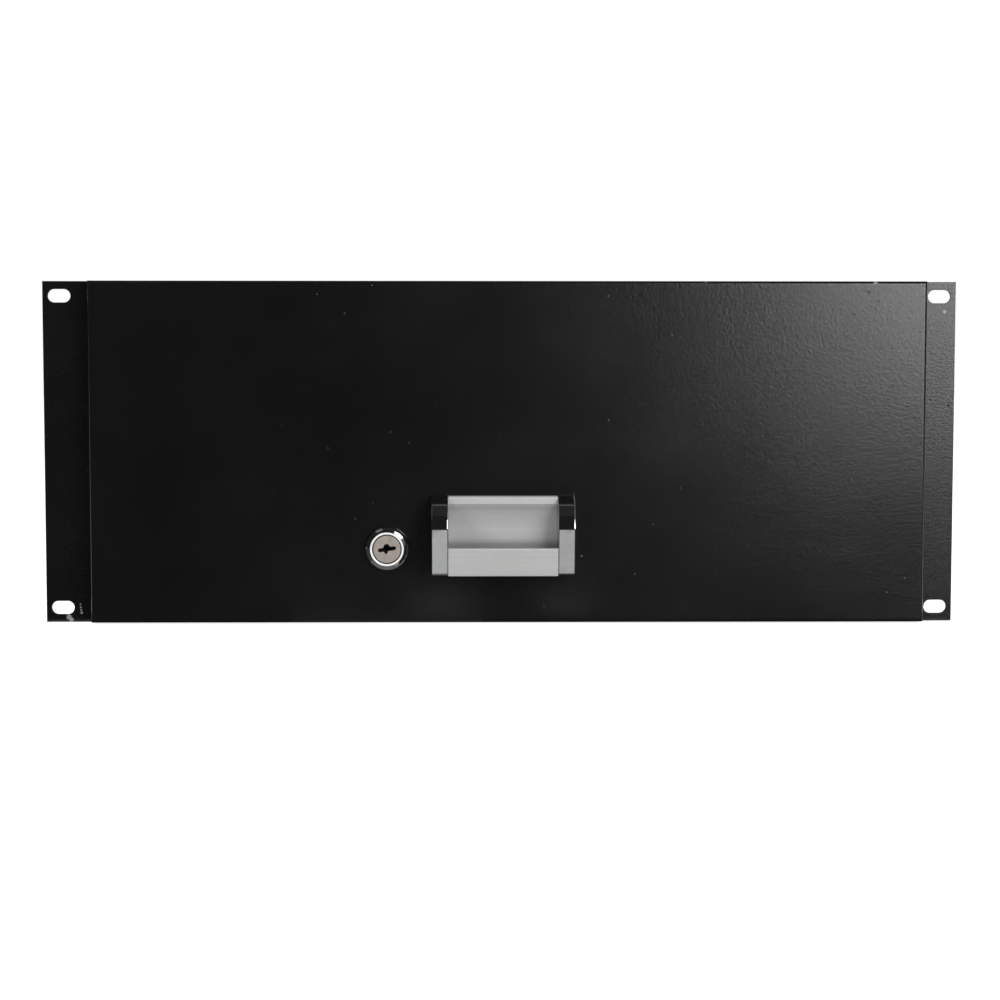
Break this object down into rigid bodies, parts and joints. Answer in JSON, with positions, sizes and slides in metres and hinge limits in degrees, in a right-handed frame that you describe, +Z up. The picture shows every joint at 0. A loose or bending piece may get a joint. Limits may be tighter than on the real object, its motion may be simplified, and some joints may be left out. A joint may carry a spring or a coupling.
{
  "type": "rack drawer",
  "caption": "Lockable sliding drawer in a steel case with slotted rack ears, on telescopic ball-bearing slides, with a channel handle and a cam lock.",
  "frame": {"origin": "centre of the four mounting slots, on the rear face of the ears", "axes": "+X to the right seen from the front, +Y back into the rack, +Z up"},
  "size_m": [0.4826, 0.431, 0.1806],
  "materials": {
    "black_powder_coat": "satin black powder coat",
    "zinc_steel": "bright zinc plated",
    "black_screws": "black oxide",
    "bearing_steel": "polished",
    "chrome_plate": "polished chrome plate",
    "satin_aluminium": "satin anodised",
    "nickel_plug": "nickel plated",
    "wafer_brass": "plain",
    "bumper_rubber": "matte"
  },
  "bodies": {
    "case": {"left_side_panel": "black_powder_coat", "right_side_panel": "black_powder_coat", "bottom_plate": "black_powder_coat", "top_cover": "black_powder_coat", "rear_panel": "black_powder_coat", "bottom_screws": "black_screws", "cover_screws": "black_screws", "rear_panel_screws": "black_screws", "rear_bumpers": "bumper_rubber", "left_slide_outer": "zinc_steel", "right_slide_outer": "zinc_steel", "slide_outer_rivets": "zinc_steel"},
    "slide_middles": {"left_slide_middle": "zinc_steel", "right_slide_middle": "zinc_steel"},
    "outer_cages": {"left_outer_cage": "zinc_steel", "right_outer_cage": "zinc_steel", "left_outer_balls": "bearing_steel", "right_outer_balls": "bearing_steel"},
    "inner_cages": {"left_inner_cage": "zinc_steel", "right_inner_cage": "zinc_steel", "left_inner_balls": "bearing_steel", "right_inner_balls": "bearing_steel"},
    "drawer": {"drawer_tray": "black_powder_coat", "tray_back": "black_powder_coat", "front_panel": "black_powder_coat", "panel_studs": "zinc_steel", "panel_nuts": "zinc_steel", "handle_profile": "satin_aluminium", "left_handle_cap": "chrome_plate", "right_handle_cap": "chrome_plate", "handle_washers": "zinc_steel", "handle_screws": "zinc_steel", "lock_housing": "chrome_plate", "lock_washer": "zinc_steel", "lock_nut": "zinc_steel", "left_slide_inner": "zinc_steel", "right_slide_inner": "zinc_steel", "slide_inner_rivets": "zinc_steel"},
    "lock": {"lock_plug": "nickel_plug", "lock_wafers": "wafer_brass", "lock_cam": "zinc_steel", "cam_washer": "zinc_steel", "cam_screw": "zinc_steel"}
  },
  "joints": [
    {"name": "drawer_slide", "type": "slide", "parent": "case", "child": "drawer", "axis": [0, -1, 0], "range_m": [0, 0.35]},
    {"name": "slide_middle_travel", "type": "slide", "parent": "case", "child": "slide_middles", "axis": [0, -1, 0], "range_m": [0, 0.175]},
    {"name": "outer_cage_travel", "type": "slide", "parent": "case", "child": "outer_cages", "axis": [0, -1, 0], "range_m": [0, 0.0875]},
    {"name": "inner_cage_travel", "type": "slide", "parent": "case", "child": "inner_cages", "axis": [0, -1, 0], "range_m": [0, 0.2625]},
    {"name": "lock_turn", "type": "hinge", "parent": "drawer", "child": "lock", "pos_m": [-0.0598, 0, -0.05025], "axis": [0, 1, 0], "range_deg": [0, 90]}
  ],
  "couplings": [
    {"joint": "slide_middle_travel", "follows": "drawer_slide", "ratio": 0.5},
    {"joint": "outer_cage_travel", "follows": "drawer_slide", "ratio": 0.25},
    {"joint": "inner_cage_travel", "follows": "drawer_slide", "ratio": 0.75}
  ]
}
